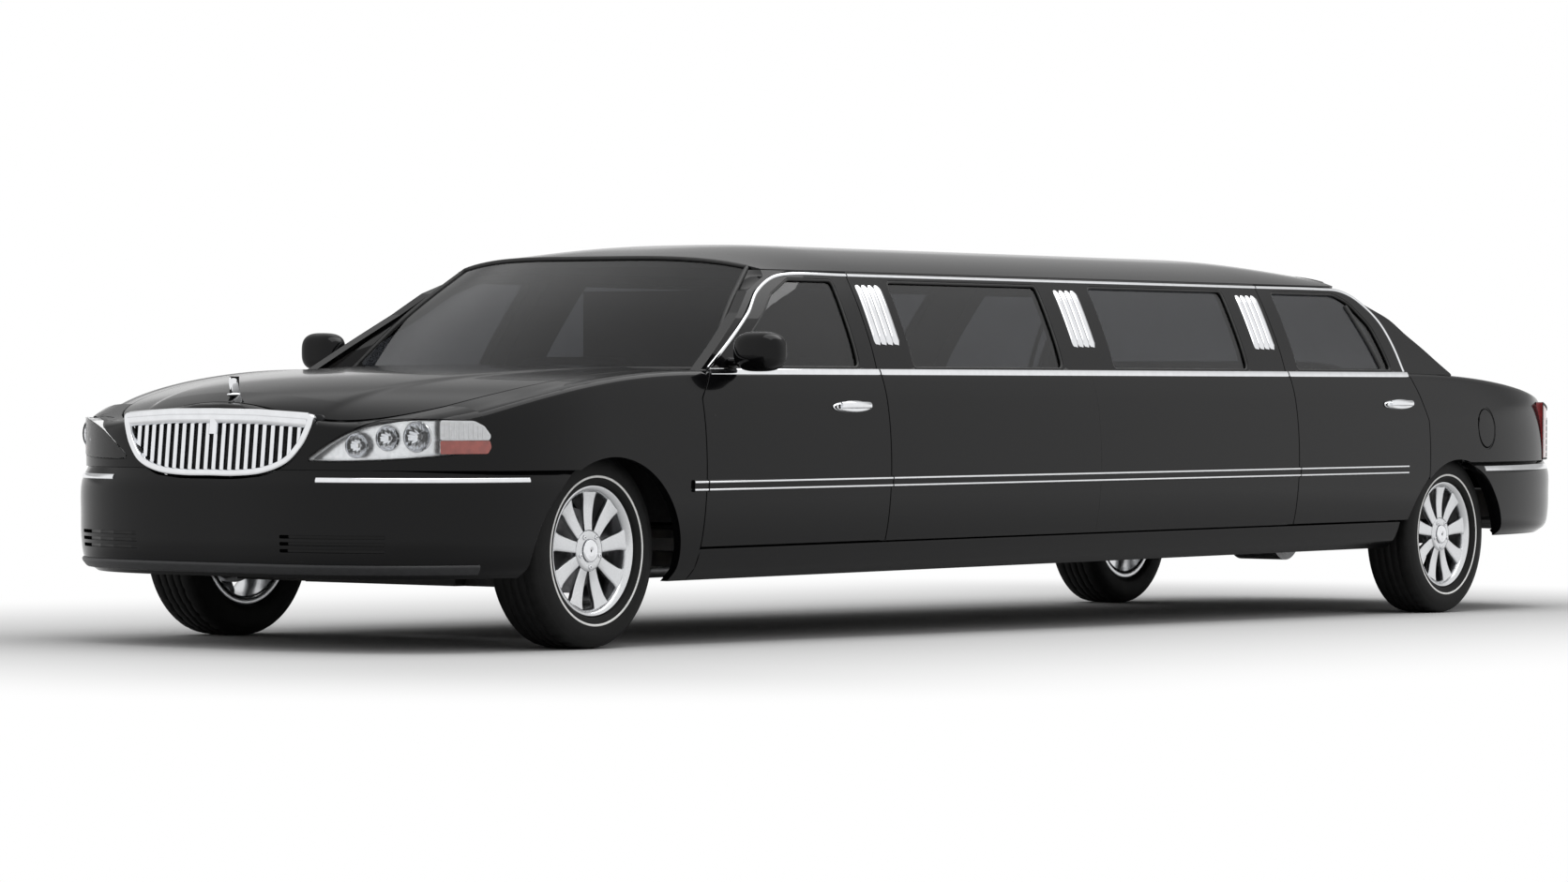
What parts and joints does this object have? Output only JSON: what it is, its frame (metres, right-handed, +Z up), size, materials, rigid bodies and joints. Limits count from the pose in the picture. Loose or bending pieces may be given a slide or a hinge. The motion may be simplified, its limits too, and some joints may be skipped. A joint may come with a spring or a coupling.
{
  "type": "limousine",
  "caption": "Black stretched limousine with waterfall grille, chrome trim, louvred pillars, opening doors, hood and trunk, steered front wheels and a dark cabin.",
  "frame": {"origin": "on the ground under the middle of the car's box", "axes": "X forward, Y to the car's left, Z up"},
  "size_m": [8.5177, 2.2576, 1.5204],
  "materials": {
    "paint": "gloss black paint",
    "chrome": "bright plated trim",
    "glass": "dark tinted glass",
    "lamp_clear": "clear lamp lens",
    "lamp_red": "red lamp lens",
    "gloss_black": "gloss black housing",
    "alloy": "polished alloy",
    "tyre": "black rubber with a pale ring",
    "chassis": "satin black chassis paint",
    "steel": "bare steel",
    "engine": "cast block",
    "trim": "soft black trim",
    "leather": "black leather"
  },
  "bodies": {
    "body": {"frame_rails": "chassis", "floor_pan": "chassis", "sills": "paint", "front_fenders": "paint", "nose_panel": "paint", "grille": "chrome", "headlamps": "lamp_clear", "front_bumper": "paint", "cowl": "chassis", "windshield": "glass", "a_pillars": "paint", "roof": "paint", "centre_sides": "paint", "side_glass": "glass", "louvres": "chrome", "quarter_panels": "paint", "rear_window": "glass", "rear_shelf": "trim", "tail_lamps": "lamp_red", "rear_bumper": "paint", "front_crossmember": "chassis", "rear_axle": "chassis", "drive_shaft": "steel", "exhaust": "steel", "engine_block": "engine", "dashboard": "trim", "seats": "leather", "partition": "trim"},
    "door_fl": {"door_fl": "paint", "glass_fl": "glass", "mirror_l": "gloss_black"},
    "door_fr": {"door_fr": "paint", "glass_fr": "glass", "mirror_r": "gloss_black"},
    "door_rl": {"door_rl": "paint", "glass_rl": "glass"},
    "door_rr": {"door_rr": "paint", "glass_rr": "glass"},
    "hood": {"hood": "paint"},
    "trunk_lid": {"trunk_lid": "paint"},
    "fuel_door": {"fuel_door": "paint"},
    "knuckle_l": {"knuckle_l": "steel"},
    "knuckle_r": {"knuckle_r": "steel"},
    "wheel_fl": {"rim_fl": "alloy", "tyre_fl": "tyre"},
    "wheel_fr": {"rim_fr": "alloy", "tyre_fr": "tyre"},
    "wheel_rl": {"rim_rl": "alloy", "tyre_rl": "tyre"},
    "wheel_rr": {"rim_rr": "alloy", "tyre_rr": "tyre"},
    "steering_wheel": {"steering_wheel": "trim"}
  },
  "joints": [
    {"name": "steer_l", "type": "hinge", "parent": "body", "child": "knuckle_l", "pos_m": [3.239, 0.72, 0.345], "axis": [0, 0, 1], "range_deg": [-33, 33]},
    {"name": "steer_r", "type": "hinge", "parent": "body", "child": "knuckle_r", "pos_m": [3.239, -0.72, 0.345], "axis": [0, 0, 1], "range_deg": [-33, 33]},
    {"name": "steering_wheel_turn", "type": "hinge", "parent": "body", "child": "steering_wheel", "pos_m": [2.11342, 0.38, 0.84308], "axis": [-0.9013, 0, 0.4331], "range_deg": [-495, 495]},
    {"name": "wheel_fl_roll", "type": "hinge", "parent": "knuckle_l", "child": "wheel_fl", "pos_m": [3.239, 0.805, 0.345], "axis": [0, 1, 0], "continuous": true},
    {"name": "wheel_fr_roll", "type": "hinge", "parent": "knuckle_r", "child": "wheel_fr", "pos_m": [3.239, -0.805, 0.345], "axis": [0, 1, 0], "continuous": true},
    {"name": "wheel_rl_roll", "type": "hinge", "parent": "body", "child": "wheel_rl", "pos_m": [-2.799, 0.825, 0.345], "axis": [0, 1, 0], "continuous": true},
    {"name": "wheel_rr_roll", "type": "hinge", "parent": "body", "child": "wheel_rr", "pos_m": [-2.799, -0.825, 0.345], "axis": [0, 1, 0], "continuous": true},
    {"name": "door_fl_hinge", "type": "hinge", "parent": "body", "child": "door_fl", "pos_m": [2.64292, 0.98, 0.66692], "axis": [-0.0116, 0, -0.9999], "range_deg": [0, 62]},
    {"name": "door_fr_hinge", "type": "hinge", "parent": "body", "child": "door_fr", "pos_m": [2.64292, -0.98, 0.66692], "axis": [0.0116, 0, 0.9999], "range_deg": [0, 62]},
    {"name": "door_rl_hinge", "type": "hinge", "parent": "body", "child": "door_rl", "pos_m": [-1.48681, 0.98, 0.71481], "axis": [-0.0116, 0, -0.9999], "range_deg": [0, 62]},
    {"name": "door_rr_hinge", "type": "hinge", "parent": "body", "child": "door_rr", "pos_m": [-1.48681, -0.98, 0.71481], "axis": [0.0116, 0, 0.9999], "range_deg": [0, 62]},
    {"name": "hood_hinge", "type": "hinge", "parent": "body", "child": "hood", "pos_m": [2.59455, 0, 0.9375], "axis": [0, -1, 0], "range_deg": [0, 50]},
    {"name": "trunk_hinge", "type": "hinge", "parent": "body", "child": "trunk_lid", "pos_m": [-3.07827, 0, 0.98627], "axis": [0, 1, 0], "range_deg": [0, 70]},
    {"name": "fuel_door_hinge", "type": "hinge", "parent": "body", "child": "fuel_door", "pos_m": [-2.98978, 0.98674, 0.81224], "axis": [-0.0116, 0, -0.9999], "range_deg": [0, 85]}
  ],
  "couplings": [
    {"joint": "steer_r", "follows": "steer_l", "ratio": 1},
    {"joint": "steering_wheel_turn", "follows": "steer_l", "ratio": 15}
  ]
}
